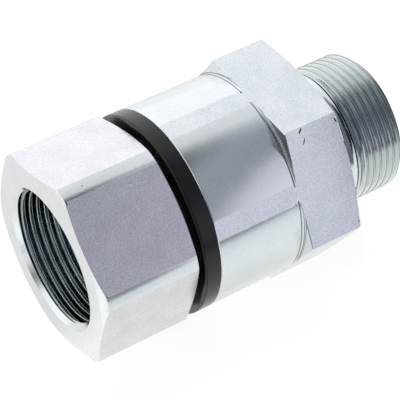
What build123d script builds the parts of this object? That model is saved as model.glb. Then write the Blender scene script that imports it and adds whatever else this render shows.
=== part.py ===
from build123d import *
import os
from math import cos, pi, radians, sin, tan

# Straight hydraulic rotary union: a spindle with a hexagon head and a female port turns in a
# housing with a hexagon and a male stud, on two full rows of balls, and a seal set at the
# spindle's inner end holds the pressure.
# Millimetres. X is the axis, from the female port towards the stud. The origin lies on the
# axis at half length. One flat of the housing's hexagon faces straight down, as it rests.

os.makedirs("parts", exist_ok=True)

# Pipe thread G 1 1/4 at both ends, drawn as plain cylinders
thread_major_d = 41.910
thread_depth = 1.479

# Spindle head, from hexagon bar with its corners turned off
head_across_flats = 55.0
head_land_rise = 3.1
head_chamfer_rise = 3.25
head_chamfer_angle = 17.0
head_length = 29.7
head_turn = -19.3

# Female port and flow bore
port_chamfer = 1.82
port_thread_depth = 22.0
flow_d = 28.0
port_floor_angle = 45.0

# Housing, from hexagon bar: the barrel is turned just wider than the flats, and its wall
# is measured over the ball race
barrel_wall = 3.95
flat_depth = 0.15
mouth_chamfer = 0.6
shoulder_fillet = 0.9
hexagon_length = 18.1
hexagon_face_inset = 1.25
hexagon_chamfer_angle = 15.0
hexagon_chamfer_overrun = 1.0
neck_length = 8.0
relief_width = 1.1
relief_depth = 1.755
stud_length = 14.7
stud_chamfer = 1.6
stud_bore_chamfer = 1.0

# Ball bearing: the lands before the rows, between them and behind them, and the land between
# the rear row's filling plug and the shoulder
ball_d = 8.0
ball_spacing_gap = 0.1
race_clearance = 0.05
journal_clearance = 0.08
front_land = 1.55
middle_land = 2.4
rear_land = 1.35
shoulder_land = 4.27

# Filling plugs, one over each row, on the underside. The angles run from +Y towards +Z
plug_over_ball = 1.4
plug_clearance = 0.03
plug_ball_clearance = 0.25
plug_sink = 0.5
plug_chamfer = 0.4
plug_socket_across_flats = 5.0
plug_socket_depth = 1.8
front_plug_angle = -38.0
rear_plug_angle = -68.0

# Dust ring between the head and the housing's mouth
dust_gap = 1.3
dust_ring_width = 4.7
dust_edge_radius = 0.5
dust_spigot_wall = 3.66
dust_spigot_length = 2.3
dust_seat_clearance = 0.02
dust_lip_clearance = 0.08

# Spindle nose, which carries the seals, and the step up from it to the ball journal
nose_wall = 4.5
journal_step = 3.46
journal_end = 0.5
journal_chamfer = 0.6
nose_clearance = 0.06
nose_chamfer = 1.2
nose_end_gap = 0.8
step_chamfer = 1.2

# Seal grooves in the housing, each measured from the one before it
groove_land = 1.2
grease_groove_width = 3.6
grease_groove_depth = 2.1
grease_ring_width = 2.9
guide_groove_width = 4.8
guide_groove_depth = 2.0
guide_ring_split = 1.5
guide_ring_split_angle = 45.0
pressure_groove_width = 5.6
slipper_thickness = 2.0
slipper_notch = 0.5
backup_width = 1.3
energiser_width = 3.1
energiser_height = 2.37
seal_clearance = 0.04
seal_rub_clearance = 0.05
o_ring_flat = 0.13

# Radii, from the flow bore outwards
thread_major_r = thread_major_d / 2
thread_minor_r = thread_major_r - thread_depth
flow_r = flow_d / 2
nose_r = flow_r + nose_wall
seal_bore_r = nose_r + nose_clearance
seal_r = nose_r + seal_rub_clearance
journal_r = nose_r + journal_step
pitch_r = journal_r + journal_clearance / 2
housing_bore_r = journal_r + journal_clearance
race_r = ball_d / 2 + race_clearance
plug_r = (ball_d + plug_over_ball) / 2
barrel_r = pitch_r + race_r + barrel_wall
body_across_flats = 2 * (barrel_r - flat_depth)
body_corner_r = body_across_flats / 2 / cos(radians(30))
balls_per_row = int(2 * pi * pitch_r / (ball_d + ball_spacing_gap))

# Stations along the axis
rear_row_depth = dust_spigot_length + front_land + 3 * race_r + middle_land
barrel_length = rear_row_depth + plug_r + plug_clearance + shoulder_land
total_length = (head_length + dust_gap + dust_ring_width + barrel_length + hexagon_length
                + neck_length + relief_width + stud_length)
x_front = -total_length / 2
x_head_back = x_front + head_length
x_dust_ring = x_head_back + dust_gap
x_mouth = x_dust_ring + dust_ring_width
x_shoulder = x_mouth + barrel_length
x_seat = x_shoulder + hexagon_length
x_relief = x_seat + neck_length
x_thread = x_relief + relief_width
x_tip = x_thread + stud_length
x_rear_row = x_mouth + rear_row_depth
x_front_row = x_rear_row - 2 * race_r - middle_land
x_step = x_rear_row + race_r + rear_land
x_grease_groove = x_step + groove_land
x_guide_groove = x_grease_groove + grease_groove_width + groove_land
x_pressure_groove = x_guide_groove + guide_groove_width + groove_land
x_nose_end = x_pressure_groove + pressure_groove_width + groove_land + nose_chamfer
x_cavity_end = x_nose_end + nose_end_gap


def keep(builder, name):
    """Label one finished piece and write it to its own file."""
    builder.part.label = name
    export_step(builder.part, f"parts/{name}.step")


# Spindle: hexagon head, ball journal and seal nose in one piece, with the port and flow bore
head_land_r = head_across_flats / 2 + head_land_rise
head_face_r = head_land_r - head_chamfer_rise
head_chamfer_depth = head_chamfer_rise * tan(radians(head_chamfer_angle))
x_journal_end = x_step - journal_end
x_port_floor = x_front + port_thread_depth
port_floor_depth = (thread_minor_r - flow_r) * tan(radians(port_floor_angle))
port_mouth_r = thread_minor_r + port_chamfer

with BuildPart() as spindle:
    with BuildSketch(Plane.YZ.offset(x_front)):
        RegularPolygon(head_across_flats / 2, 6, major_radius=False, rotation=head_turn)
    extrude(amount=head_length)
    with BuildSketch(Plane.XZ):
        with BuildLine():
            Polyline(
                (x_front, 0),
                (x_front, head_face_r),
                (x_front + head_chamfer_depth, head_land_r),
                (x_head_back - head_chamfer_depth, head_land_r),
                (x_head_back, head_face_r),
                (x_head_back, 0),
                close=True,
            )
        make_face()
    revolve(axis=Axis.X, mode=Mode.INTERSECT)
    with BuildSketch(Plane.XZ):
        with BuildLine():
            Polyline(
                (x_head_back, 0),
                (x_head_back, journal_r),
                (x_journal_end - journal_chamfer, journal_r),
                (x_journal_end, journal_r - journal_chamfer),
                (x_journal_end, nose_r),
                (x_nose_end - nose_chamfer, nose_r),
                (x_nose_end, nose_r - nose_chamfer),
                (x_nose_end, 0),
                close=True,
            )
        make_face()
    revolve(axis=Axis.X)
    with BuildSketch(Plane.XZ):
        with BuildLine():
            Polyline(
                (x_front, 0),
                (x_front, port_mouth_r),
                (x_front + port_chamfer, thread_minor_r),
                (x_port_floor, thread_minor_r),
                (x_port_floor + port_floor_depth, flow_r),
                (x_nose_end, flow_r),
                (x_nose_end, 0),
                close=True,
            )
        make_face()
    revolve(axis=Axis.X, mode=Mode.SUBTRACT)
    with BuildSketch(Plane.XZ):
        with Locations((x_front_row, pitch_r), (x_rear_row, pitch_r)):
            Circle(race_r)
    revolve(axis=Axis.X, mode=Mode.SUBTRACT)
keep(spindle, "spindle")

# Housing: hexagon bar turned to the barrel, with the stud, the bearing bore and seal grooves
lip_r = journal_r + dust_lip_clearance
dust_spigot_r = lip_r + dust_spigot_wall
dust_seat_r = dust_spigot_r + dust_seat_clearance
pressure_groove_r = seal_r + slipper_thickness + energiser_height + seal_clearance
relief_r = thread_major_r - relief_depth
hexagon_face_r = body_across_flats / 2 - hexagon_face_inset
chamfer_start_r = body_corner_r + hexagon_chamfer_overrun
hexagon_chamfer_depth = (chamfer_start_r - hexagon_face_r) * tan(radians(hexagon_chamfer_angle))

with BuildPart() as housing:
    with BuildSketch(Plane.YZ.offset(x_mouth)):
        RegularPolygon(body_across_flats / 2, 6, major_radius=False)
    extrude(amount=x_seat - x_mouth)
    with BuildSketch(Plane.XZ):
        with BuildLine():
            Polyline(
                (x_shoulder, barrel_r + shoulder_fillet),
                (x_shoulder, chamfer_start_r),
                (x_seat - hexagon_chamfer_depth, chamfer_start_r),
                (x_seat, hexagon_face_r),
                (x_seat, 0),
                (x_mouth, 0),
                (x_mouth, barrel_r - mouth_chamfer),
                (x_mouth + mouth_chamfer, barrel_r),
                (x_shoulder - shoulder_fillet, barrel_r),
            )
            CenterArc(
                (x_shoulder - shoulder_fillet, barrel_r + shoulder_fillet), shoulder_fillet, -90, 90
            )
        make_face()
    revolve(axis=Axis.X, mode=Mode.INTERSECT)
    with BuildSketch(Plane.XZ):
        with BuildLine():
            Polyline(
                (x_seat, 0),
                (x_seat, thread_major_r),
                (x_relief, thread_major_r),
                (x_relief, relief_r),
                (x_thread, relief_r),
                (x_thread, thread_major_r),
                (x_tip - stud_chamfer, thread_major_r),
                (x_tip, thread_major_r - stud_chamfer),
                (x_tip, 0),
                close=True,
            )
        make_face()
    revolve(axis=Axis.X)
    with BuildSketch(Plane.XZ):
        with BuildLine():
            Polyline(
                (x_mouth, 0),
                (x_mouth, dust_seat_r),
                (x_mouth + dust_spigot_length, dust_seat_r),
                (x_mouth + dust_spigot_length, housing_bore_r),
                (x_step, housing_bore_r),
                (x_step, seal_bore_r + step_chamfer),
                (x_step + step_chamfer, seal_bore_r),
                (x_cavity_end, seal_bore_r),
                (x_cavity_end, flow_r),
                (x_tip - stud_bore_chamfer, flow_r),
                (x_tip, flow_r + stud_bore_chamfer),
                (x_tip, 0),
                close=True,
            )
        make_face()
    revolve(axis=Axis.X, mode=Mode.SUBTRACT)
    with BuildSketch(Plane.XZ):
        with Locations((x_front_row, pitch_r), (x_rear_row, pitch_r)):
            Circle(race_r)
    revolve(axis=Axis.X, mode=Mode.SUBTRACT)
    for x_groove, width, depth in (
        (x_grease_groove, grease_groove_width, grease_groove_depth),
        (x_guide_groove, guide_groove_width, guide_groove_depth),
        (x_pressure_groove, pressure_groove_width, pressure_groove_r - seal_bore_r),
    ):
        with BuildSketch(Plane.XZ):
            with Locations((x_groove, seal_bore_r - seal_clearance)):
                Rectangle(width, depth + seal_clearance, align=(Align.MIN, Align.MIN))
        revolve(axis=Axis.X, mode=Mode.SUBTRACT)
    for x_row, angle in ((x_front_row, front_plug_angle), (x_rear_row, rear_plug_angle)):
        outward = (0, cos(radians(angle)), sin(radians(angle)))
        with BuildSketch(Plane(origin=(x_row, 0, 0), x_dir=(1, 0, 0), z_dir=outward).offset(pitch_r)):
            Circle(plug_r + plug_clearance)
        extrude(amount=barrel_r, mode=Mode.SUBTRACT)
keep(housing, "housing")

# Filling plugs: threaded plugs with a hexagon socket that close the ball-loading holes
plug_inner_r = pitch_r + ball_d / 2 + plug_ball_clearance
plug_outer_r = barrel_r - plug_sink

for name, x_row, angle in (
    ("front_filling_plug", x_front_row, front_plug_angle),
    ("rear_filling_plug", x_rear_row, rear_plug_angle),
):
    outward = (0, cos(radians(angle)), sin(radians(angle)))
    plug_plane = Plane(origin=(x_row, 0, 0), x_dir=(1, 0, 0), z_dir=outward)
    with BuildPart() as plug:
        with BuildSketch(plug_plane.offset(plug_inner_r)):
            Circle(plug_r)
        extrude(amount=plug_outer_r - plug_inner_r)
        chamfer(plug.edges(), plug_chamfer)
        with BuildSketch(plug_plane.offset(plug_outer_r)):
            RegularPolygon(plug_socket_across_flats / 2, 6, major_radius=False)
        extrude(amount=-plug_socket_depth, mode=Mode.SUBTRACT)
    keep(plug, name)

# Balls: a full complement of hardened steel balls in each row
for row, x_row in (("front", x_front_row), ("rear", x_rear_row)):
    for number in range(balls_per_row):
        angle = radians(360 * number / balls_per_row)
        centre = (x_row, pitch_r * cos(angle), pitch_r * sin(angle))
        with BuildPart(Plane(origin=centre)) as ball:
            Sphere(ball_d / 2)
        keep(ball, f"{row}_ball_{number + 1:02d}")

# Dust ring: rubber, with a spigot pressed into the housing's mouth and a lip on the journal
with BuildPart() as dust_ring:
    with BuildSketch(Plane.XZ):
        with BuildLine():
            Polyline(
                (x_dust_ring + dust_edge_radius, barrel_r),
                (x_mouth, barrel_r),
                (x_mouth, dust_spigot_r),
                (x_mouth + dust_spigot_length - dust_seat_clearance, dust_spigot_r),
                (x_mouth + dust_spigot_length - dust_seat_clearance, lip_r),
                (x_dust_ring, lip_r),
                (x_dust_ring, barrel_r - dust_edge_radius),
            )
            CenterArc(
                (x_dust_ring + dust_edge_radius, barrel_r - dust_edge_radius), dust_edge_radius, 90, 90
            )
        make_face()
    revolve(axis=Axis.X)
keep(dust_ring, "dust_ring")

# Grease seal: an O-ring, drawn as it is squeezed in its groove behind the bearing
x_grease_ring = x_grease_groove + grease_groove_width / 2
grease_ring_height = seal_bore_r + grease_groove_depth - seal_clearance - seal_r

with BuildPart() as grease_o_ring:
    with BuildSketch(Plane.XZ):
        with Locations((x_grease_ring, seal_r + grease_ring_height / 2)):
            RectangleRounded(grease_ring_width, grease_ring_height, grease_ring_height / 2 - o_ring_flat)
    revolve(axis=Axis.X)
keep(grease_o_ring, "grease_o_ring")

# Guide ring: a split PTFE strip that carries the nose sideways
guide_ring_height = seal_bore_r + guide_groove_depth - seal_clearance - seal_r
split_cut_length = 3 * guide_groove_width
split_cut_height = 3 * guide_ring_height

with BuildPart() as guide_ring:
    with BuildSketch(Plane.XZ):
        with Locations((x_guide_groove + seal_clearance, seal_r)):
            Rectangle(
                guide_groove_width - 2 * seal_clearance, guide_ring_height, align=(Align.MIN, Align.MIN)
            )
    revolve(axis=Axis.X)
    with BuildSketch(Plane.XY.offset(nose_r - guide_ring_height)):
        with Locations((x_guide_groove + guide_groove_width / 2, 0)):
            Rectangle(split_cut_length, guide_ring_split, rotation=guide_ring_split_angle)
    extrude(amount=split_cut_height, mode=Mode.SUBTRACT)
keep(guide_ring, "guide_ring")

# Pressure seal: a filled PTFE slipper ring, the O-ring that presses it down, and a back-up ring
x_backup = x_pressure_groove + seal_clearance
x_slipper = x_backup + backup_width
slipper_width = pressure_groove_width - backup_width - 2 * seal_clearance
slipper_top_r = seal_r + slipper_thickness

with BuildPart() as backup_ring:
    with BuildSketch(Plane.XZ):
        with Locations((x_backup, seal_r)):
            Rectangle(backup_width, slipper_thickness, align=(Align.MIN, Align.MIN))
    revolve(axis=Axis.X)
keep(backup_ring, "backup_ring")

with BuildPart() as slipper_ring:
    with BuildSketch(Plane.XZ):
        with BuildLine():
            Polyline(
                (x_slipper, seal_r),
                (x_slipper + slipper_width - slipper_notch, seal_r),
                (x_slipper + slipper_width, seal_r + slipper_notch),
                (x_slipper + slipper_width, slipper_top_r),
                (x_slipper, slipper_top_r),
                close=True,
            )
        make_face()
    revolve(axis=Axis.X)
keep(slipper_ring, "slipper_ring")

with BuildPart() as energiser_o_ring:
    with BuildSketch(Plane.XZ):
        with Locations((x_slipper + slipper_width / 2, slipper_top_r + energiser_height / 2)):
            RectangleRounded(energiser_width, energiser_height, energiser_height / 2 - o_ring_flat)
    revolve(axis=Axis.X)
keep(energiser_o_ring, "energiser_o_ring")
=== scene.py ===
from math import acos, cos, degrees, pi, radians, sin, tan

import bmesh
import bpy
from mathutils import Euler, Matrix, Vector


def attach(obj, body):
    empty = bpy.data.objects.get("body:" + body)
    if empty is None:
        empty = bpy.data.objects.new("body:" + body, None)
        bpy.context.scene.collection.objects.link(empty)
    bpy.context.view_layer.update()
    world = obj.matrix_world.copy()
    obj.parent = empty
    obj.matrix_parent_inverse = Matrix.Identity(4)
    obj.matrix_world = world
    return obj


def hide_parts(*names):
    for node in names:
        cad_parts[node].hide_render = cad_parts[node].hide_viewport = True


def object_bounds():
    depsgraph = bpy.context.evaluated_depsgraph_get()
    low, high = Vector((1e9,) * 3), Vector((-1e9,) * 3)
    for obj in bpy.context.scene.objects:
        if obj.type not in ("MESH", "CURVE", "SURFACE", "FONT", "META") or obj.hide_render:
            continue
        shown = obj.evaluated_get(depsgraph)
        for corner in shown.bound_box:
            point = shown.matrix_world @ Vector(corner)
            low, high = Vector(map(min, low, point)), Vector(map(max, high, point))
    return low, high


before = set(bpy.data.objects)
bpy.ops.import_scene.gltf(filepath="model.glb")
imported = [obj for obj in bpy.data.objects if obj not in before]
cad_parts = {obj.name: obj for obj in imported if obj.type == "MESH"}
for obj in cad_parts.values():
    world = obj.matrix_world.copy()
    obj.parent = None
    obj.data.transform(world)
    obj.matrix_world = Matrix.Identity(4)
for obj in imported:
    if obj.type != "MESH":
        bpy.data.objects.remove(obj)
cad_low, cad_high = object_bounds()


# Camera: it stands where the photograph was taken from, as the edges of both hexagons, the
# barrel, the ring and the threads show.
mm = 0.001
camera = bpy.data.objects.new("camera", bpy.data.cameras.new("camera"))
bpy.context.scene.collection.objects.link(camera)
bpy.context.scene.camera = camera
camera.location = (-196.48 * mm, -270.17 * mm, 355.83 * mm)
camera.rotation_euler = Euler((radians(42.6784), radians(-2.0364), radians(-33.3048)), "XYZ")
camera.data.lens = 155.434
camera.data.sensor_width = 36
camera.data.clip_start = 0.02
camera.data.clip_end = 20
bpy.context.scene.view_settings.view_transform = "Standard"


# Studio: a white table in a white light tent, which the metal reflects. The tent is open towards
# the camera, so what faces the camera turns dark, and a dark card past the end of the stud does
# the same for the stud's collar and thread.
def linear(colour):
    """Turn an sRGB hex colour into linear red, green, blue and alpha."""
    parts = [int(colour[i:i + 2], 16) / 255 for i in (1, 3, 5)]
    return [p / 12.92 if p <= 0.04045 else ((p + 0.055) / 1.055) ** 2.4 for p in parts] + [1.0]


def add_node(tree, kind, inputs=None, stops=(), **settings):
    """Add a node with its settings and colour stops, and set or link its inputs."""
    node = tree.nodes.new(kind)
    for name, value in settings.items():
        setattr(node, name, value)
    for position, colour in stops:
        node.color_ramp.elements.new(position).color = linear(colour)
    if stops:
        node.color_ramp.elements.remove(node.color_ramp.elements[0])
        node.color_ramp.elements.remove(node.color_ramp.elements[-1])
    for name, value in (inputs or {}).items():
        if isinstance(value, bpy.types.NodeSocket):
            tree.links.new(value, node.inputs[name])
        else:
            node.inputs[name].default_value = value
    return node


def start_material(name):
    """Start a material with an empty node tree, and give back both."""
    material = bpy.data.materials.new(name)
    material.use_nodes = True
    material.node_tree.nodes.clear()
    return material, material.node_tree


def show_background(tree):
    """1 for the rays that see the white surround: the camera's, reflected and transmitted ones."""
    rays = add_node(tree, "ShaderNodeLightPath")
    seen = add_node(tree, "ShaderNodeMath", {0: rays.outputs["Is Camera Ray"],
                                             1: rays.outputs["Is Glossy Ray"]},
                    operation="MAXIMUM")
    seen = add_node(tree, "ShaderNodeMath", {0: seen.outputs[0],
                                             1: rays.outputs["Is Transmission Ray"]},
                    operation="MAXIMUM")
    return seen.outputs[0]


def everything(bm):
    """All vertices, edges and faces of a mesh, for an operator that takes the whole of it."""
    return bm.verts[:] + bm.edges[:] + bm.faces[:]


def add_backdrop(bm, name, material):
    """Turn a mesh into a thing of the studio, in its material."""
    mesh = bpy.data.meshes.new(name)
    bm.to_mesh(mesh)
    bm.free()
    mesh.materials.append(material)
    backdrop = bpy.data.objects.new(name, mesh)
    bpy.context.scene.collection.objects.link(backdrop)
    return backdrop


def show_only_in_gloss(backdrop):
    """Leave a thing of the studio to reflections, so that it neither lights nor shades."""
    backdrop.visible_camera = False
    backdrop.visible_diffuse = False
    backdrop.visible_shadow = False
    backdrop.visible_transmission = False


world = bpy.data.worlds.new("white_surround")
bpy.context.scene.world = world
world.use_nodes = True
tree = world.node_tree
tree.nodes.clear()
lit = add_node(tree, "ShaderNodeBackground", {"Color": linear("#F4F6FA"), "Strength": 0.62})
seen = add_node(tree, "ShaderNodeBackground", {"Color": linear("#FFFFFF"), "Strength": 1.0})
mixed = add_node(tree, "ShaderNodeMixShader", {0: show_background(tree), 1: lit.outputs[0],
                                               2: seen.outputs[0]})
add_node(tree, "ShaderNodeOutputWorld", {"Surface": mixed.outputs[0]})

# The table is white to the camera. To the metal it is dark in front, where the tent is open, and
# light grey from near the object backwards, with a bright strip under the object.
paper, tree = start_material("white_table")
matt = add_node(tree, "ShaderNodeBsdfDiffuse", {"Color": linear("#7E8080")})
near = add_node(tree, "ShaderNodeEmission", {"Color": linear("#FFFFFF"), "Strength": 0.35})
place = add_node(tree, "ShaderNodeTexCoord").outputs["Object"]
depth = add_node(tree, "ShaderNodeSeparateXYZ", {0: place}).outputs["Y"]
backward = add_node(tree, "ShaderNodeMapRange", {"Value": depth, "From Min": -0.6,
                                                 "From Max": 0.3})
sheet = add_node(tree, "ShaderNodeValToRGB", {0: backward.outputs[0]}, stops=(
    (0.04, "#15181B"), (0.22, "#24282C"), (0.33, "#80888F"), (0.45, "#B2B9BD"),
    (0.545, "#BEC4C7"), (0.61, "#C6CBCB"), (0.632, "#D2D4D1"), (0.652, "#E6E9E6"),
    (0.67, "#CFD0CE"), (0.70, "#C4C4C3"), (0.76, "#C4C4C4"), (0.86, "#CFD2D2"),
    (0.96, "#D6D8D8")))
seen = add_node(tree, "ShaderNodeEmission", {"Color": sheet.outputs[0], "Strength": 1.0})
white = add_node(tree, "ShaderNodeEmission", {"Color": linear("#FFFFFF"), "Strength": 0.86})
glow = add_node(tree, "ShaderNodeMixShader", {0: show_background(tree), 1: near.outputs[0],
                                              2: seen.outputs[0]})
rays = add_node(tree, "ShaderNodeLightPath")
glow = add_node(tree, "ShaderNodeMixShader", {0: rays.outputs["Is Camera Ray"],
                                              1: glow.outputs[0], 2: white.outputs[0]})
both = add_node(tree, "ShaderNodeAddShader", {0: matt.outputs[0], 1: glow.outputs[0]})
add_node(tree, "ShaderNodeOutputMaterial", {"Surface": both.outputs[0]})
table_bm = bmesh.new()
bmesh.ops.create_grid(table_bm, x_segments=1, y_segments=1, size=3.0)
bmesh.ops.translate(table_bm, verts=table_bm.verts[:], vec=(0, 0, cad_low.z))
table = add_backdrop(table_bm, "table", paper)

# The tent is white behind, and overhead it turns to the shades of its camera side. These run from
# two dark folds, which the port's countersink shows, over the dark opening to a lavender cloth.
tent_cloth, tree = start_material("light_tent_cloth")
place = add_node(tree, "ShaderNodeTexCoord").outputs["Object"]
unit = add_node(tree, "ShaderNodeVectorMath", {0: place}, operation="NORMALIZE").outputs[0]
side = add_node(tree, "ShaderNodeVectorMath", {0: unit, 1: (0.808, -0.589, 0)},
                operation="DOT_PRODUCT")
across = add_node(tree, "ShaderNodeMapRange", {"Value": side.outputs["Value"],
                                               "From Min": -1.0, "From Max": 1.0})
opening = add_node(tree, "ShaderNodeValToRGB", {0: across.outputs[0]}, stops=(
    (0.06, "#D8DADB"), (0.10, "#8A8784"), (0.135, "#4A4B4D"), (0.165, "#B8B0AD"),
    (0.20, "#F0F3F6"), (0.25, "#D0D3D6"), (0.285, "#34383B"), (0.32, "#4A4F53"),
    (0.37, "#8E949A"), (0.43, "#3A3E44"), (0.55, "#3C4046"), (0.61, "#727A81"),
    (0.68, "#8F98A1"), (0.80, "#89919B"), (0.838, "#9496A2"), (0.868, "#B6B4C3"),
    (0.885, "#C3C5D4"), (0.91, "#C6C8D7"), (0.925, "#CBCDDB"), (0.94, "#D5D7E3")))
depth = add_node(tree, "ShaderNodeSeparateXYZ", {0: unit}).outputs["Y"]
backward = add_node(tree, "ShaderNodeMapRange", {"Value": depth, "From Min": -0.2,
                                                 "From Max": 0.85})
whiteness = add_node(tree, "ShaderNodeValToRGB", {0: backward.outputs[0]}, stops=(
    (0.10, "#000000"), (0.245, "#707070"), (0.41, "#D0D0D0"), (0.60, "#DCDCDC"),
    (0.75, "#F0F0F0"), (0.88, "#FFFFFF")))
shades = add_node(tree, "ShaderNodeMixRGB", {0: whiteness.outputs[0], 1: opening.outputs[0],
                                             2: linear("#F8FCFF")})
glow = add_node(tree, "ShaderNodeEmission", {"Color": shades.outputs[0], "Strength": 1.06})
add_node(tree, "ShaderNodeOutputMaterial", {"Surface": glow.outputs[0]})
tent_bm = bmesh.new()
bmesh.ops.create_uvsphere(tent_bm, u_segments=48, v_segments=24, radius=1.6)
bmesh.ops.bisect_plane(tent_bm, geom=everything(tent_bm), dist=1e-6,
                       plane_co=(0, 0, cad_low.z), plane_no=(0, 0, -1), clear_outer=True)
tent = add_backdrop(tent_bm, "light_tent", tent_cloth)
show_only_in_gloss(tent)

# The card is bent round the axis, so the collar and the thread show the same height of it all
# along. It turns from a dark violet grey in front to a paler grey above, and is black further out.
card_paper, tree = start_material("dark_card_paper")
place = add_node(tree, "ShaderNodeTexCoord").outputs["Object"]
axes = add_node(tree, "ShaderNodeSeparateXYZ", {0: place})
upward = add_node(tree, "ShaderNodeMapRange", {"Value": axes.outputs["Y"], "From Min": -0.12,
                                               "From Max": 0.035})
fade = add_node(tree, "ShaderNodeValToRGB", {0: upward.outputs[0]}, stops=(
    (0.02, "#575866"), (0.09, "#606170"), (0.30, "#525862"), (0.57, "#858E95"),
    (0.90, "#80898F"), (0.98, "#9AA3AA")))
outward = add_node(tree, "ShaderNodeMapRange", {"Value": axes.outputs["X"],
                                                "From Min": 0.075, "From Max": 0.24})
strength = add_node(tree, "ShaderNodeValToRGB", {0: outward.outputs[0]}, stops=(
    (0.55, "#FFFFFF"), (0.624, "#3A3A3A")))
glow = add_node(tree, "ShaderNodeEmission", {"Color": fade.outputs[0],
                                             "Strength": strength.outputs[0]})
add_node(tree, "ShaderNodeOutputMaterial", {"Surface": glow.outputs[0]})
card_bm = bmesh.new()
edge = [card_bm.verts.new((x * mm, -119 * mm, -17 * mm)) for x in (84, 600)]
card_bm.edges.new(edge)
bmesh.ops.spin(card_bm, geom=everything(card_bm), cent=(0, 0, 0), axis=(1, 0, 0),
               dvec=(0, 0, 0), angle=-radians(114), steps=24, use_merge=False)
dark_card = add_backdrop(card_bm, "dark_card", card_paper)
show_only_in_gloss(dark_card)


def soft_lamp(name, place, width, depth, watts, colour):
    """Hang a rectangular soft lamp at a place, turned to the object."""
    lamp = bpy.data.lights.new(name, "AREA")
    lamp.shape = "RECTANGLE"
    lamp.size = width
    lamp.size_y = depth
    lamp.energy = watts
    lamp.color = linear(colour)[:3]
    holder = bpy.data.objects.new(name, lamp)
    bpy.context.scene.collection.objects.link(holder)
    holder.location = place
    holder.rotation_euler = Vector(place).to_track_quat("Z", "Y").to_euler()
    holder.visible_glossy = False
    return holder


soft_lamp("top_lamp", (0.25, 0.45, 0.95), 0.9, 0.7, 9.0, "#FFFFFF")
soft_lamp("left_lamp", (-0.8, -0.3, 0.5), 0.5, 0.5, 2.0, "#FAFBFF")


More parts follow.
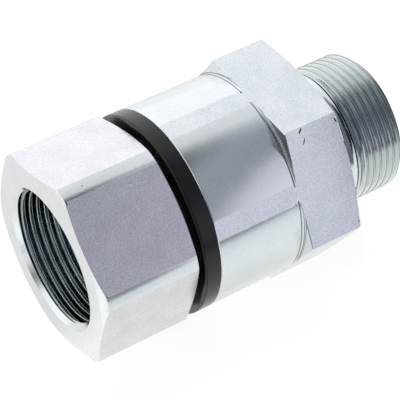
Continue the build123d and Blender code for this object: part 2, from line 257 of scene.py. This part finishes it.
# Zinc plating: steel with a bright zinc coat under a thin blue passivation, which gives the
# metal a cool, faintly violet tone. Turned faces are smoother round the axis than along it, and
# the drawn bar's own faces keep a fine grain. Shade is painted in as well: a dark copy of the zinc
# in a narrow groove, dark bands deep in a thread and dark marks for small dents, with painted
# highlights on a thread's crests.
def plated_steel(name, colours, roughness, anisotropy, grain_mm, grain_height_mm, marks_mm,
                 depth_tones=(), nicks=()):
    """Zinc plated steel with a grain and turning marks, toned by depth and nicked if asked."""
    material, tree = start_material(name)
    place = add_node(tree, "ShaderNodeTexCoord").outputs["Object"]
    axes = add_node(tree, "ShaderNodeSeparateXYZ", {0: place})
    flat = add_node(tree, "ShaderNodeVectorMath", {0: place, 1: (0, 1, 1)},
                    operation="MULTIPLY")
    radius = add_node(tree, "ShaderNodeVectorMath", {0: flat.outputs[0]},
                      operation="LENGTH").outputs["Value"]

    # The real grain and the tool's feed are about 0.1 mm, too fine to show from the camera, so
    # both are drawn about five times as coarse.
    grain = add_node(tree, "ShaderNodeTexNoise", {"Vector": place, "Scale": 1 / (grain_mm * mm),
                                                  "Detail": 4.0, "Roughness": 0.8})
    turned = add_node(tree, "ShaderNodeCombineXYZ", {"X": axes.outputs["X"], "Y": radius})
    marks = add_node(tree, "ShaderNodeTexNoise", {"Vector": turned.outputs[0],
                                                  "Scale": 1 / (0.5 * mm),
                                                  "Detail": 4.0, "Roughness": 0.7})
    relief = add_node(tree, "ShaderNodeBump", {"Height": grain.outputs["Fac"], "Strength": 1.0,
                                               "Distance": grain_height_mm * mm})
    relief = add_node(tree, "ShaderNodeBump", {"Height": marks.outputs["Fac"], "Strength": 1.0,
                                               "Distance": marks_mm * mm,
                                               "Normal": relief.outputs[0]})

    # The passivation's film varies in clouds some millimetres across and speckles with the grain.
    cloud = add_node(tree, "ShaderNodeTexNoise", {"Vector": place, "Scale": 1 / (7.0 * mm),
                                                  "Detail": 4.0})
    film = add_node(tree, "ShaderNodeMath", {0: cloud.outputs["Fac"], 1: 0.25},
                    operation="MULTIPLY")
    speck = add_node(tree, "ShaderNodeMath", {0: grain.outputs["Fac"], 1: 0.75,
                                              2: film.outputs[0]}, operation="MULTIPLY_ADD")
    tone = add_node(tree, "ShaderNodeValToRGB", {0: speck.outputs[0]},
                    stops=((0.38, colours[0]), (0.62, colours[1])))
    colour = tone.outputs[0]

    # A thread's colour is painted in bands by its radius, over radii of 19.4 to 21 mm: dark bands
    # are painted shade deep in the thread and beside its crests, light bands are painted
    # highlights on its crests.
    if depth_tones:
        depth = add_node(tree, "ShaderNodeMapRange", {"Value": radius, "From Min": 19.4 * mm,
                                                      "From Max": 21.0 * mm})
        depth_shade_and_highlight = add_node(tree, "ShaderNodeValToRGB", {0: depth.outputs[0]}, stops=depth_tones)
        colour = add_node(tree, "ShaderNodeMixRGB", {0: 1.0, 1: colour, 2: depth_shade_and_highlight.outputs[0]},
                          blend_type="MULTIPLY").outputs[0]

    # A nick is a small dent in the plating, drawn only as a dark oval mark: its darkness is
    # painted shade for the dent's hollow. It is given by its middle, its direction, half its
    # length and half its width.
    for middle, along, half_length, half_width in nicks:
        turn = Vector(along).to_track_quat("X", "Z").to_euler()
        local = add_node(tree, "ShaderNodeMapping", {
            "Vector": place, "Location": Vector(middle) * mm, "Rotation": turn,
            "Scale": Vector((half_length, half_width, half_width)) * mm}, vector_type="TEXTURE")
        away = add_node(tree, "ShaderNodeVectorMath", {0: local.outputs[0]}, operation="LENGTH")
        clear = add_node(tree, "ShaderNodeMapRange", {"Value": away.outputs["Value"],
                                                      "From Min": 0.7, "From Max": 1.1})
        colour = add_node(tree, "ShaderNodeMixRGB", {0: clear.outputs[0], 1: linear("#34353C"),
                                                     2: colour}).outputs[0]
    dull = add_node(tree, "ShaderNodeMapRange", {"Value": cloud.outputs["Fac"],
                                                 "From Min": 0.3, "From Max": 0.7,
                                                 "To Min": roughness[0],
                                                 "To Max": roughness[1]})
    tangent = add_node(tree, "ShaderNodeTangent", direction_type="RADIAL", axis="X")
    metal = add_node(tree, "ShaderNodeBsdfPrincipled", {
        "Base Color": colour, "Metallic": 1.0, "Roughness": dull.outputs[0],
        "Anisotropic": anisotropy, "Anisotropic Rotation": 0.25,
        "Normal": relief.outputs[0], "Tangent": tangent.outputs[0]})
    add_node(tree, "ShaderNodeOutputMaterial", {"Surface": metal.outputs[0]})
    return material


turned_zinc = plated_steel(
    "zinc_plated_steel_turned", ("#EEF0F2", "#FAFBFC"), roughness=(0.14, 0.18),
    anisotropy=0.5, grain_mm=0.6, grain_height_mm=0.012, marks_mm=0.003, nicks=(
        ((-45.08, -5.39, 30.12), (1, 0, 0), 0.22, 0.18),
        ((-50.68, -3.02, 30.37), (1, 0, 0), 0.6, 0.15)))
head_zinc = plated_steel(
    "zinc_plated_steel_drawn_head", ("#E8E1E8", "#FFFEFF"), roughness=(0.15, 0.20),
    anisotropy=0.0, grain_mm=0.5, grain_height_mm=0.05, marks_mm=0.0, nicks=(
        ((-51.29, -7.97, 29.42), (0, -1, -0.86), 0.7, 0.2),
        ((-51.27, -27.98, 12.38), (0.52, -0.51, -1.46), 0.8, 0.2)))
drawn_zinc = plated_steel(
    "zinc_plated_steel_drawn", ("#E1E6ED", "#FFFFFF"), roughness=(0.14, 0.18),
    anisotropy=0.0, grain_mm=0.5, grain_height_mm=0.03, marks_mm=0.0, nicks=(
        ((15.45, -17.63, 29.16), (-1.21, -0.71, -1.23), 0.95, 0.3),
        ((15.9, -19.25, 26.35), (-1.14, -0.99, -1.72), 1.15, 0.2),
        ((26.83, -18.29, 28.03), (0.66, -0.84, -1.46), 0.9, 0.26),
        ((26.85, -33.53, 1.63), (0, 1, 0), 0.28, 0.25),
        ((8.9, -27.54, 12.0), (0.3, -0.79, -1.36), 0.8, 0.25)))
# The threads' depth tones paint shade into their grooves and highlights onto their crests.
cut_zinc = plated_steel(
    "zinc_plated_steel_thread", ("#F8FBF8", "#FFFFFE"), roughness=(0.13, 0.18),
    anisotropy=0.2, grain_mm=0.5, grain_height_mm=0.003, marks_mm=0.002, depth_tones=(
        (0.02, "#9EA5AA"), (0.09, "#9AA1A6"), (0.17, "#E4E8E9"), (0.80, "#F2F4F4"),
        (0.91, "#989EA1"), (0.95, "#A0A6A9"), (0.972, "#DADCDC")))
# The port thread inside the bore is a darker copy of the stud's zinc: painted shade in the bore.
port_zinc = plated_steel(
    "zinc_plated_steel_port_thread", ("#D2DADC", "#DEE5E6"), roughness=(0.10, 0.16),
    anisotropy=0.2, grain_mm=0.5, grain_height_mm=0.003, marks_mm=0.002, depth_tones=(
        (0.03, "#FFFFFF"), (0.15, "#ACB4B8"), (0.85, "#7C8589"), (0.96, "#E4EAEC")))
# A dark copy of the zinc, which paints shade into the narrow crevice behind the stud's collar.
recess_painted_shade_zinc = plated_steel(
    "zinc_plated_steel_recess_painted_shade", ("#1C2024", "#2B3035"), roughness=(0.26, 0.34),
    anisotropy=0.2, grain_mm=0.5, grain_height_mm=0.003, marks_mm=0.002)
# A darker copy of the zinc, painted on thin lines round the barrel.
corner_zinc = plated_steel(
    "zinc_plated_steel_corner", ("#7A8086", "#92989E"), roughness=(0.20, 0.28),
    anisotropy=0.2, grain_mm=0.5, grain_height_mm=0.003, marks_mm=0.002)

# The order of these finishes on a plated piece.
turned_slot, drawn_slot, thread_slot, recess_painted_shade_slot, corner_slot = range(5)


# Spindle: one steel turning from hexagon bar, zinc plated. Its head keeps the bar's flats, with
# the corners turned to narrow lands and both ends chamfered, and its port has a cut pipe thread.
def draw_profile(bm, profile, easing):
    """Draw an open profile of (x, radius), with its corners eased, all in millimetres."""
    points = [bm.verts.new((x * mm, 0, r * mm)) for x, r in profile]
    for pair in zip(points, points[1:]):
        bm.edges.new(pair)
    corners = [b for a, b, c in zip(points, points[1:], points[2:])
               if (b.co - a.co).angle(c.co - b.co) > radians(14)]
    bmesh.ops.bevel(bm, geom=corners, offset=easing * mm, offset_type="OFFSET", segments=2,
                    profile=0.5, affect="VERTICES", clamp_overlap=True, material=-1)


def spin_profile(bm, profile, steps, easing):
    """Turn an open profile fully round the X axis."""
    draw_profile(bm, profile, easing)
    bmesh.ops.spin(bm, geom=everything(bm), cent=(0, 0, 0), axis=(1, 0, 0), dvec=(0, 0, 0),
                   angle=pi / 3, steps=steps // 6, use_merge=False)
    bmesh.ops.spin(bm, geom=everything(bm), cent=(0, 0, 0), axis=(1, 0, 0), dvec=(0, 0, 0),
                   angle=5 * pi / 3, steps=5, use_duplicate=True)
    bmesh.ops.remove_doubles(bm, verts=bm.verts[:], dist=2e-6)


def arc_points(x, r, radius, start, stop, count):
    """Points on an arc in the profile, with angles in degrees from +X towards larger radius."""
    turns = [radians(start + (stop - start) * i / count) for i in range(count + 1)]
    return [(x + radius * cos(t), r + radius * sin(t)) for t in turns]


def flat_directions(first_angle):
    """The outward directions of a hexagon's flats, with angles from -Y towards +Z."""
    angles = [radians(first_angle + 60 * side) for side in range(6)]
    return [Vector((0, -cos(angle), sin(angle))) for angle in angles]


def cut_flats(bm, across_flats, first_angle):
    """Cut a turned blank to a hexagon and close each cut with one flat."""
    for outward in flat_directions(first_angle):
        cut = bmesh.ops.bisect_plane(bm, geom=everything(bm), dist=3e-6,
                                     plane_co=outward * across_flats / 2 * mm,
                                     plane_no=outward, clear_outer=True)
        rim = [e for e in cut["geom_cut"] if isinstance(e, bmesh.types.BMEdge)]
        bmesh.ops.edgenet_fill(bm, edges=rim)
    bmesh.ops.recalc_face_normals(bm, faces=bm.faces[:])


def axis_distance(point):
    """How far a point lies from the X axis."""
    return Vector((0, point.y, point.z)).length


def ease_flats(bm, across_flats, first_angle, easing, eased_from):
    """Mark a hexagon's flats as drawn faces, and ease their edges beyond a radius."""
    bm.normal_update()
    eased = []
    for outward in flat_directions(first_angle):
        flats = [f for f in bm.faces if abs(f.normal.dot(outward)) > 0.99999
                 and abs(f.calc_center_median().dot(outward) - across_flats / 2 * mm) < 4e-6]
        for face in flats:
            face.material_index = drawn_slot
        eased.append((outward, {v for f in flats for v in f.verts}))
        bmesh.ops.inset_individual(bm, faces=flats, thickness=1.6 * easing * mm, depth=0,
                                   use_even_offset=True)
    for outward, rim in eased:
        for vert in rim:
            if axis_distance(vert.co) > eased_from * mm:
                vert.co -= outward * easing * mm


def thread_profile(x, turns, root_r, crest_r, pitch):
    """A pipe thread's outline over some turns, with 55 degrees between its flanks."""
    half_flank = (crest_r - root_r) / 2 * tan(radians(27.5))
    one = []
    for across in (-1, 0, 1):
        one.append((pitch / 4 + across * half_flank,
                    (root_r + crest_r + across * (crest_r - root_r)) / 2))
    for across in (1, 0, -1):
        one.append((3 * pitch / 4 - across * half_flank,
                    (root_r + crest_r + across * (crest_r - root_r)) / 2))
    return [(x + turn * pitch + dx, r) for turn in range(turns) for dx, r in one]


def spin_thread(bm, profile, pitch, steps, low_x, high_x, ring_xs=()):
    """Sweep a thread's outline into a helix that is cut off square at both ends.

    The sweep goes one turn round and one pitch onwards, so it closes on itself. Rings of edges
    are cut into it where its shape changes later on.
    """
    swept = bmesh.new()
    draw_profile(swept, profile, 0.09)
    bmesh.ops.spin(swept, geom=everything(swept), cent=(0, 0, 0), axis=(1, 0, 0),
                   dvec=(pitch * mm / steps, 0, 0), angle=pi / 3, steps=steps // 6,
                   use_merge=False)
    bmesh.ops.spin(swept, geom=everything(swept), cent=(0, 0, 0), axis=(1, 0, 0),
                   dvec=(pitch * mm / 6, 0, 0), angle=5 * pi / 3, steps=5, use_duplicate=True)
    bmesh.ops.remove_doubles(swept, verts=swept.verts[:], dist=2e-6)
    for x, side in ((low_x, -1), (high_x, 1)):
        bmesh.ops.bisect_plane(swept, geom=everything(swept), dist=1e-6,
                               plane_co=(x * mm, 0, 0), plane_no=(side, 0, 0),
                               clear_outer=True)
    for x in ring_xs:
        bmesh.ops.bisect_plane(swept, geom=everything(swept), dist=1e-6,
                               plane_co=(x * mm, 0, 0), plane_no=(1, 0, 0))
    for face in swept.faces:
        face.material_index = thread_slot
    thread = bpy.data.meshes.new("thread")
    swept.to_mesh(thread)
    swept.free()
    before = set(bm.verts)
    bm.from_mesh(thread)
    bpy.data.meshes.remove(thread)
    return [v for v in bm.verts if v not in before]


def set_radius(vert, wanted):
    """Move a vertex straight out or in, to a distance from the axis in millimetres."""
    r = axis_distance(vert.co) / mm
    vert.co.y *= wanted / r
    vert.co.z *= wanted / r


def join_thread(bm, thread_verts, ends):
    """Join a thread to the turned part, at ends that each lie between two stations on X."""
    sewn = set(thread_verts)
    open_edges = [e for e in bm.edges if e.is_boundary]
    for near, far in ends:
        at_end = [e for e in open_edges if near < e.verts[0].co.x / mm < far]
        thread_end = [e for e in at_end if e.verts[0] in sewn]
        turned_end = [e for e in at_end if e.verts[0] not in sewn]
        bmesh.ops.bridge_loops(bm, edges=thread_end + turned_end)
    bmesh.ops.recalc_face_normals(bm, faces=bm.faces[:])


def finish_piece(bm, name, materials, body, node):
    """Shade a piece smooth between its edges, and set it in place of its CAD node."""
    for face in bm.faces:
        # A hexagon's large flats stay plain, because their eased rims would pull at the shading.
        face.smooth = face.calc_area() < 80 * mm * mm
    for edge in bm.edges:
        in_thread = all(f.material_index == thread_slot for f in edge.link_faces)
        limit = radians(50) if in_thread else radians(24)
        edge.smooth = len(edge.link_faces) == 2 and edge.calc_face_angle(0) < limit
    mesh = bpy.data.meshes.new(name)
    bm.to_mesh(mesh)
    bm.free()
    for material in materials:
        mesh.materials.append(material)
    piece = bpy.data.objects.new(name, mesh)
    bpy.context.scene.collection.objects.link(piece)
    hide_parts(node)
    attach(piece, body)
    return piece


pitch = 2.309
thread_major_r = 20.955
thread_minor_r = 19.476
front_x = -52.5
head_back_x = -22.8
head_flats = 55.0
head_angle = 49.3
head_land_r = 30.6
head_face_r = 27.35
head_chamfer = 0.994
head_back_fillet = 0.4
flow_r = 14.0
journal_r = 21.96
pitch_r = 22.0
race_r = 4.05
row_xs = (-8.9, 1.6)
journal_end_x = 6.5
journal_chamfer = 0.6
nose_r = 18.5
nose_end_x = 27.0
nose_chamfer = 1.2
port_floor_x = -30.5
port_clear_x = -32.2
port_runout_x = port_clear_x - 2.4
port_runout_length = 2.0
port_rim_r = 21.5
countersink_r = 21.296
countersink_depth = 1.3
countersink_rings = (countersink_depth, 1.6, 1.82)

race_half = degrees(acos((pitch_r - journal_r) / race_r))
spindle_profile = [(front_x, port_rim_r), (front_x, head_face_r),
                   (front_x + head_chamfer, head_land_r),
                   (head_back_x - head_chamfer, head_land_r), (head_back_x, head_face_r),
                   (head_back_x, journal_r + head_back_fillet)]
spindle_profile += arc_points(head_back_x + head_back_fillet, journal_r + head_back_fillet,
                              head_back_fillet, 180, 270, 4)[1:]
for row_x in row_xs:
    spindle_profile += arc_points(row_x, pitch_r, race_r, 270 - race_half, 270 + race_half, 16)
spindle_profile += [(journal_end_x - journal_chamfer, journal_r),
                    (journal_end_x, journal_r - journal_chamfer), (journal_end_x, nose_r),
                    (nose_end_x - nose_chamfer, nose_r), (nose_end_x, nose_r - nose_chamfer),
                    (nose_end_x, flow_r), (port_floor_x + thread_minor_r - flow_r, flow_r),
                    (port_floor_x, thread_minor_r), (port_clear_x + 0.3, thread_minor_r)]

spindle_bm = bmesh.new()
spin_profile(spindle_bm, spindle_profile, 180, 0.12)
cut_flats(spindle_bm, head_flats, head_angle)
ease_flats(spindle_bm, head_flats, head_angle, 0.06, 0)
port_profile = thread_profile(front_x - 1.6 * pitch, 13, thread_minor_r, thread_major_r, pitch)
port_verts = spin_thread(spindle_bm, port_profile, pitch, 144, front_x + 0.02, port_clear_x,
                         [front_x + depth for depth in countersink_rings])

# The port's mouth is countersunk at 45 degrees, the thread runs in behind that at 60 degrees,
# and its grooves run out to the minor diameter at the inner end.
countersunk = set()
for vert in port_verts:
    r = axis_distance(vert.co) / mm
    x = vert.co.x / mm
    cone = countersink_r - (x - front_x)
    runout = (thread_major_r - (thread_major_r - thread_minor_r)
              * (x - port_runout_x) / port_runout_length)
    runin = (countersink_r - countersink_depth
             + (x - front_x - countersink_depth) * tan(radians(60)))
    wanted = min(r, max(runout, thread_minor_r), max(runin, cone))
    if wanted < cone + 0.001:
        wanted = cone
        countersunk.add(vert)
    set_radius(vert, wanted)
for face in {f for v in countersunk for f in v.link_faces}:
    if all(v in countersunk for v in face.verts):
        face.material_index = turned_slot
join_thread(spindle_bm, port_verts, ((front_x - 1, front_x + 1),
                                     (port_clear_x - 1, port_clear_x + 1)))
finish_piece(spindle_bm, "plated_spindle", (turned_zinc, head_zinc, port_zinc), "spindle_body",
             "spindle")


# Housing: one steel turning from a larger hexagon bar, zinc plated. The barrel is turned just
# proud of the flats, so six narrow strips of the bar's own face run along it.
mouth_x = -16.8
shoulder_x = 10.6
seat_x = 28.7
collar_end_x = 34.9
relief_x = 36.2
thread_x = 37.8
tip_x = 52.5
barrel_r = 30.0
barrel_chamfer = 0.6
housing_flats = 59.7
housing_angle = 30.0
shoulder_fillet = 0.35
seat_fillet = 0.4
corner_start_r = 35.469
hexagon_face_r = 28.6
seal_bore_r = 18.56
bore_r = 22.04
dust_seat_r = 25.72
dust_seat_depth = 2.3
step_x = 7.0
step_chamfer = 1.2
cavity_end_x = 27.8
relief_r = 19.3
ridge_r = 20.53
runout_r = 19.95
tip_r = 19.25
tip_chamfer = 1.6

housing_profile = [(tip_x, tip_r), (tip_x, flow_r + 1.0), (tip_x - 1.0, flow_r),
                   (cavity_end_x, flow_r), (cavity_end_x, seal_bore_r)]
# Grooves for the pressure seal, the guide ring and the grease O-ring: start, width and radius.
for groove_x, width, groove_r in ((19.0, 5.6, 22.96), (13.0, 4.8, 20.56), (8.2, 3.6, 20.66)):
    housing_profile += [(groove_x + width, seal_bore_r), (groove_x + width, groove_r),
                        (groove_x, groove_r), (groove_x, seal_bore_r)]
housing_profile += [(step_x, seal_bore_r + step_chamfer), (step_x, bore_r)]
for row_x in reversed(row_xs):
    housing_profile += arc_points(row_x, pitch_r, race_r, 90 - race_half, 90 + race_half, 16)
housing_profile += [(mouth_x + dust_seat_depth, bore_r), (mouth_x + dust_seat_depth, dust_seat_r),
                    (mouth_x, dust_seat_r), (mouth_x, barrel_r - barrel_chamfer),
                    (mouth_x + barrel_chamfer, barrel_r)]
# A fine line that the tool left runs round the barrel just before its shoulder.
housing_profile += [(shoulder_x - 0.95, barrel_r), (shoulder_x - 0.8, barrel_r - 0.07),
                    (shoulder_x - 0.62, barrel_r), (shoulder_x - shoulder_fillet, barrel_r)]
housing_profile += arc_points(shoulder_x - shoulder_fillet, barrel_r + shoulder_fillet,
                              shoulder_fillet, -90, 0, 7)[1:]
housing_profile += [(shoulder_x, corner_start_r),
                    (seat_x - (corner_start_r - hexagon_face_r) * tan(radians(15)),
                     corner_start_r),
                    (seat_x, hexagon_face_r), (seat_x, thread_major_r + seat_fillet)]
housing_profile += arc_points(seat_x + seat_fillet, thread_major_r + seat_fillet, seat_fillet,
                              180, 270, 4)[1:]
# The collar behind the thread ends in a slight taper, a narrow crevice and the thread's run-out.
housing_profile += [(collar_end_x, thread_major_r), (collar_end_x + 0.07, 20.934),
                    (relief_x - 0.07, ridge_r + 0.021), (relief_x, ridge_r),
                    (relief_x + 0.03, relief_r), (relief_x + 0.57, relief_r),
                    (relief_x + 0.6, 20.2), (relief_x + 0.67, 20.175),
                    (thread_x - 0.37, runout_r + 0.025), (thread_x - 0.3, runout_r),
                    (tip_x, tip_r)]

housing_bm = bmesh.new()
spin_profile(housing_bm, housing_profile, 180, 0.12)
cut_flats(housing_bm, housing_flats, housing_angle)

# The balls go in by one hole over each row, which is drilled from the underside.
filling_hole_r = 4.73
filling_angles = (-38.0, -68.0)
drill_bm = bmesh.new()
for row_x, angle in zip(row_xs, filling_angles):
    outward = Vector((0, cos(radians(angle)), sin(radians(angle))))
    turn = outward.to_track_quat("Z", "Y").to_matrix().to_4x4()
    place = Matrix.Translation(Vector((row_x, 0, 0)) * mm + outward * 26.5 * mm)
    bmesh.ops.create_cone(drill_bm, cap_ends=True, segments=64, radius1=filling_hole_r * mm,
                          radius2=filling_hole_r * mm, depth=9 * mm, matrix=place @ turn)
blank_mesh = bpy.data.meshes.new("housing_blank")
housing_bm.to_mesh(blank_mesh)
housing_bm.free()
drill_mesh = bpy.data.meshes.new("filling_hole_drill")
drill_bm.to_mesh(drill_mesh)
drill_bm.free()
blank = bpy.data.objects.new("housing_blank", blank_mesh)
drill = bpy.data.objects.new("filling_hole_drill", drill_mesh)
for piece in (blank, drill):
    bpy.context.scene.collection.objects.link(piece)
drilling = blank.modifiers.new("filling_holes", "BOOLEAN")
drilling.object = drill
drilling.operation = "DIFFERENCE"
drilling.solver = "EXACT"
depsgraph = bpy.context.evaluated_depsgraph_get()
drilled = bpy.data.meshes.new_from_object(blank.evaluated_get(depsgraph))
housing_bm = bmesh.new()
housing_bm.from_mesh(drilled)
for piece in (blank, drill):
    bpy.data.objects.remove(piece)
ease_flats(housing_bm, housing_flats, housing_angle, 0.13, barrel_r + 1)

# The stud's plain end gives way to its thread, which starts out of the relief groove and ends in
# a chamfer at the tip.
plain = [f for f in housing_bm.faces
         if all(v.co.x > (thread_x - 0.31) * mm and axis_distance(v.co) > 19.2 * mm
                for v in f.verts)]
bmesh.ops.delete(housing_bm, geom=plain, context="FACES")
stud_profile = thread_profile(thread_x + 1.15 - 3.5 * pitch, 11, thread_minor_r,
                              thread_major_r, pitch)
stud_verts = spin_thread(housing_bm, stud_profile, pitch, 144, thread_x - 0.2, tip_x - 0.01)
for vert in stud_verts:
    x = vert.co.x / mm
    start = runout_r + max(0.0, x - thread_x) * tan(radians(75))
    set_radius(vert, min(axis_distance(vert.co) / mm, start,
                         thread_major_r - tip_chamfer + (tip_x - x)))
join_thread(housing_bm, stud_verts, ((thread_x - 1, thread_x + 0.5), (tip_x - 1, tip_x + 1)))

# The crevice gets the dark recess zinc as painted shade, and the tool's line and the edge of the
# shoulder's fillet a darker zinc.
for face in housing_bm.faces:
    middle = face.calc_center_median() / mm
    r = axis_distance(middle)
    in_crevice = relief_x - 0.01 < middle.x < relief_x + 0.61 and 19 < r < 20.19
    in_tool_line = (shoulder_x - 0.96 < middle.x < shoulder_x - 0.61
                    and barrel_r - 0.08 < r < barrel_r + 0.01)
    on_fillet_edge = shoulder_x - 0.06 < middle.x < shoulder_x - 0.001 and r > barrel_r
    if in_crevice:
        face.material_index = recess_painted_shade_slot
    elif in_tool_line or on_fillet_edge:
        face.material_index = corner_slot
finish_piece(housing_bm, "plated_housing",
             (turned_zinc, drawn_zinc, cut_zinc, recess_painted_shade_zinc, corner_zinc),
             "housing_body", "housing")


# Filling plugs: steel screws that close the holes the balls go in by, one over each row. Their
# black oxide is a thin dark skin with an oily satin gloss, in blotches of brown and grey.
def dress_nodes(names, material):
    """Give CAD nodes that stay in sight a material of their own."""
    for name in names:
        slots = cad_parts[name].data.materials
        slots.clear()
        slots.append(material)


black_oxide, tree = start_material("black_oxide_steel_turned")
place = add_node(tree, "ShaderNodeTexCoord").outputs["Object"]
blotch = add_node(tree, "ShaderNodeTexNoise", {"Vector": place, "Scale": 1 / (1.2 * mm),
                                               "Detail": 5.0})
skin = add_node(tree, "ShaderNodeValToRGB", {0: blotch.outputs["Fac"]}, stops=(
    (0.35, "#1B1C20"), (0.55, "#26272B"), (0.75, "#3A3936")))
pits = add_node(tree, "ShaderNodeBump", {"Height": blotch.outputs["Fac"],
                                         "Distance": 0.01 * mm})
gloss = add_node(tree, "ShaderNodeMapRange", {"Value": blotch.outputs["Fac"], "To Min": 0.30,
                                              "To Max": 0.45})
coat = add_node(tree, "ShaderNodeBsdfPrincipled", {
    "Base Color": skin.outputs[0], "Metallic": 1.0, "Roughness": gloss.outputs[0],
    "Normal": pits.outputs[0]})
add_node(tree, "ShaderNodeOutputMaterial", {"Surface": coat.outputs[0]})
dress_nodes(("front_filling_plug", "rear_filling_plug"), black_oxide)


# Balls: hardened bearing steel, ground and lapped to a mirror, under a thin film of grease that
# smears the shine a little in patches.
ball_steel, tree = start_material("bearing_steel_lapped")
place = add_node(tree, "ShaderNodeTexCoord").outputs["Object"]
grease = add_node(tree, "ShaderNodeTexNoise", {"Vector": place, "Scale": 1 / (2.5 * mm),
                                               "Detail": 3.0})
tint = add_node(tree, "ShaderNodeValToRGB", {0: grease.outputs["Fac"]}, stops=(
    (0.4, "#C4C6C9"), (0.65, "#D2D2CF")))
smear = add_node(tree, "ShaderNodeMapRange", {"Value": grease.outputs["Fac"],
                                              "From Min": 0.4, "From Max": 0.7,
                                              "To Min": 0.06, "To Max": 0.18})
steel = add_node(tree, "ShaderNodeBsdfPrincipled", {
    "Base Color": tint.outputs[0], "Metallic": 1.0, "Roughness": smear.outputs[0]})
add_node(tree, "ShaderNodeOutputMaterial", {"Surface": steel.outputs[0]})
dress_nodes([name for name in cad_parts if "_ball_" in name], ball_steel)


# Dust ring and O-rings: moulded nitrile rubber, a deep black body under the smooth skin that a
# polished mould leaves, which shines as a soft grey where the light grazes it.
rubber, tree = start_material("nitrile_rubber_moulded")
place = add_node(tree, "ShaderNodeTexCoord").outputs["Object"]
skin = add_node(tree, "ShaderNodeTexNoise", {"Vector": place, "Scale": 1 / (0.6 * mm),
                                             "Detail": 3.0})
relief = add_node(tree, "ShaderNodeBump", {"Height": skin.outputs["Fac"], "Strength": 1.0,
                                           "Distance": 0.006 * mm})
tone = add_node(tree, "ShaderNodeValToRGB", {0: skin.outputs["Fac"]}, stops=(
    (0.35, "#030303"), (0.65, "#080707")))
body = add_node(tree, "ShaderNodeBsdfPrincipled", {
    "Base Color": tone.outputs[0], "Roughness": 0.34, "IOR": 1.45, "Specular IOR Level": 0.15,
    "Normal": relief.outputs[0], "Coat Weight": 0.85, "Coat Roughness": 0.2, "Coat IOR": 1.45})
add_node(tree, "ShaderNodeOutputMaterial", {"Surface": body.outputs[0]})
dress_nodes(("dust_ring", "grease_o_ring", "energiser_o_ring"), rubber)


# Guide ring, slipper ring and back-up ring: PTFE filled with bronze powder, skived from a tube,
# which is a dull warm brown with fine paler specks. The powder is drawn twice as coarse as the
# real one, so that it shows.
ptfe, tree = start_material("bronze_filled_ptfe_skived")
place = add_node(tree, "ShaderNodeTexCoord").outputs["Object"]
powder = add_node(tree, "ShaderNodeTexVoronoi", {"Vector": place, "Scale": 1 / (0.12 * mm)})
blend = add_node(tree, "ShaderNodeValToRGB", {0: powder.outputs["Distance"]}, stops=(
    (0.15, "#8C6F4A"), (0.5, "#5E4A36")))
relief = add_node(tree, "ShaderNodeBump", {"Height": powder.outputs["Distance"],
                                           "Distance": 0.004 * mm})
resin = add_node(tree, "ShaderNodeBsdfPrincipled", {
    "Base Color": blend.outputs[0], "Roughness": 0.45, "IOR": 1.38,
    "Normal": relief.outputs[0]})
add_node(tree, "ShaderNodeOutputMaterial", {"Surface": resin.outputs[0]})
dress_nodes(("guide_ring", "slipper_ring", "backup_ring"), ptfe)
